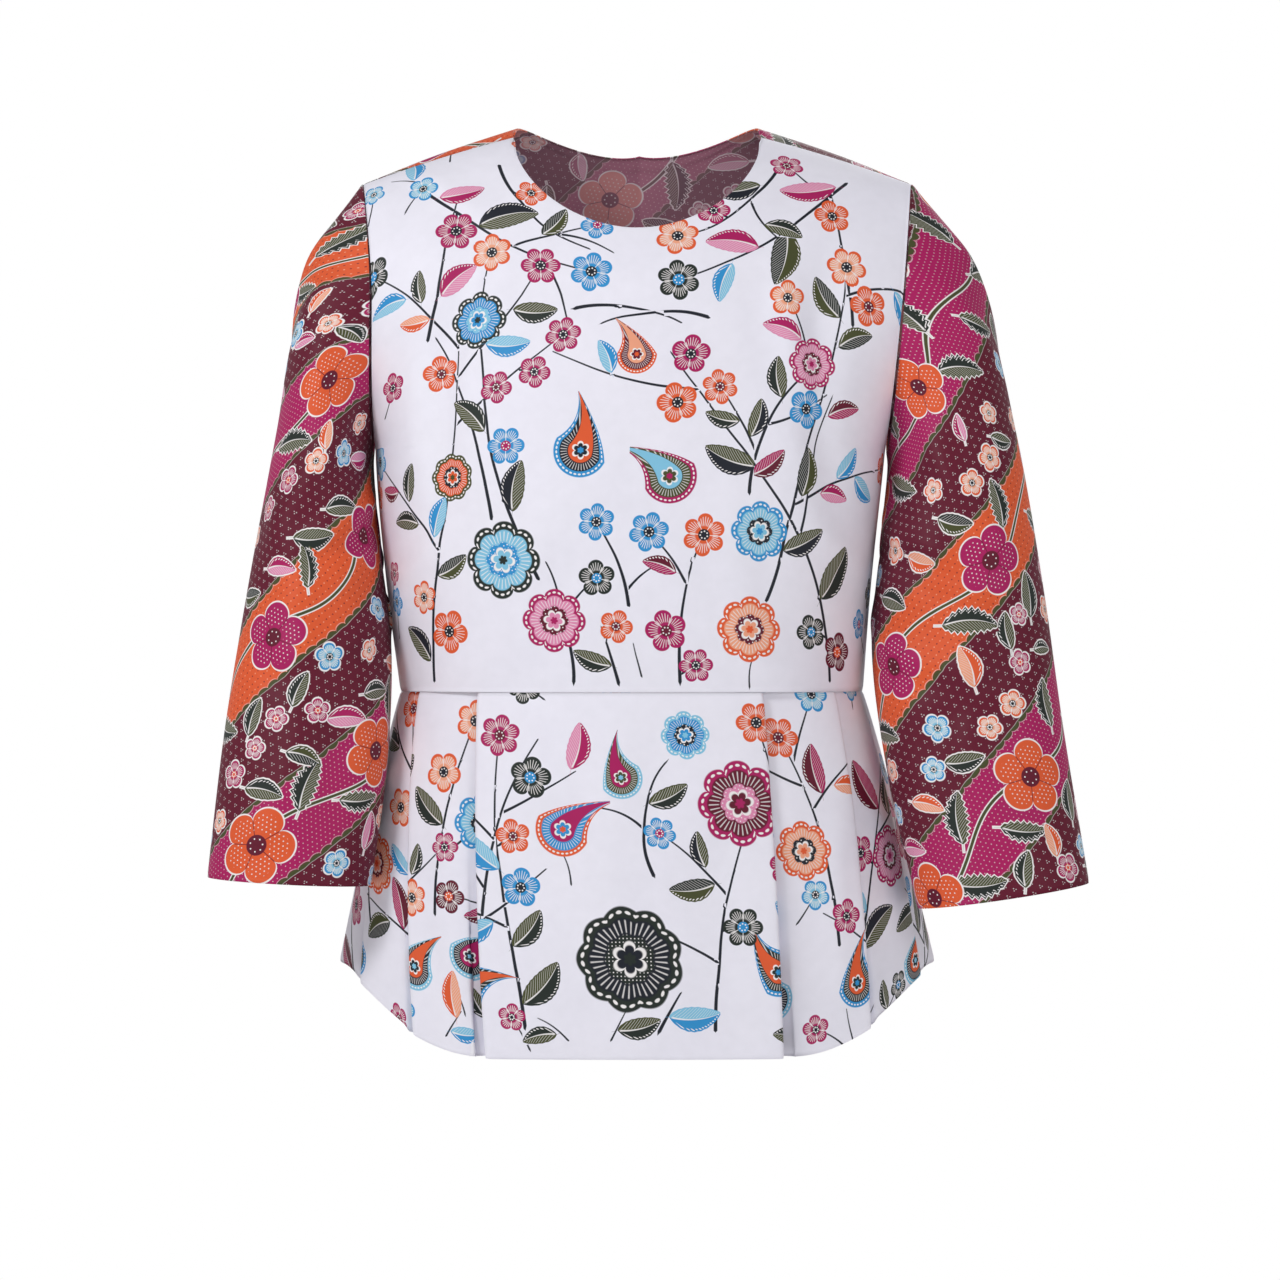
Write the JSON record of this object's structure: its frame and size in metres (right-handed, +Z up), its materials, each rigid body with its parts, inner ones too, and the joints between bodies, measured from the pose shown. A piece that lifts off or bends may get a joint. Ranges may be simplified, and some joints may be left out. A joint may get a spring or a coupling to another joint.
{
  "type": "batik peplum blouse",
  "caption": "Woven cotton blouse with a round neck, three-quarter sleeves and a pleated peplum, held open as it hangs on a wearer.",
  "frame": {"origin": "midway between the two points where the shoulder seams meet the neckline, where the wearer's shoulders carry the blouse", "axes": "+Z up, -Y out of the front, +X to the wearer's left"},
  "size_m": [0.6189, 0.3194, 0.6572],
  "materials": {
    "printed_cotton": "smooth white cotton with flower and leaf motifs, softly lustrous",
    "banded_batik": "smooth cotton in slanting burgundy, magenta and orange floral bands"
  },
  "bodies": {
    "root": {"bodice_front": "printed_cotton", "bodice_back": "banded_batik", "sleeve_right": "banded_batik", "sleeve_left": "banded_batik", "peplum_front": "printed_cotton", "peplum_back": "printed_cotton"}
  },
  "joints": []
}
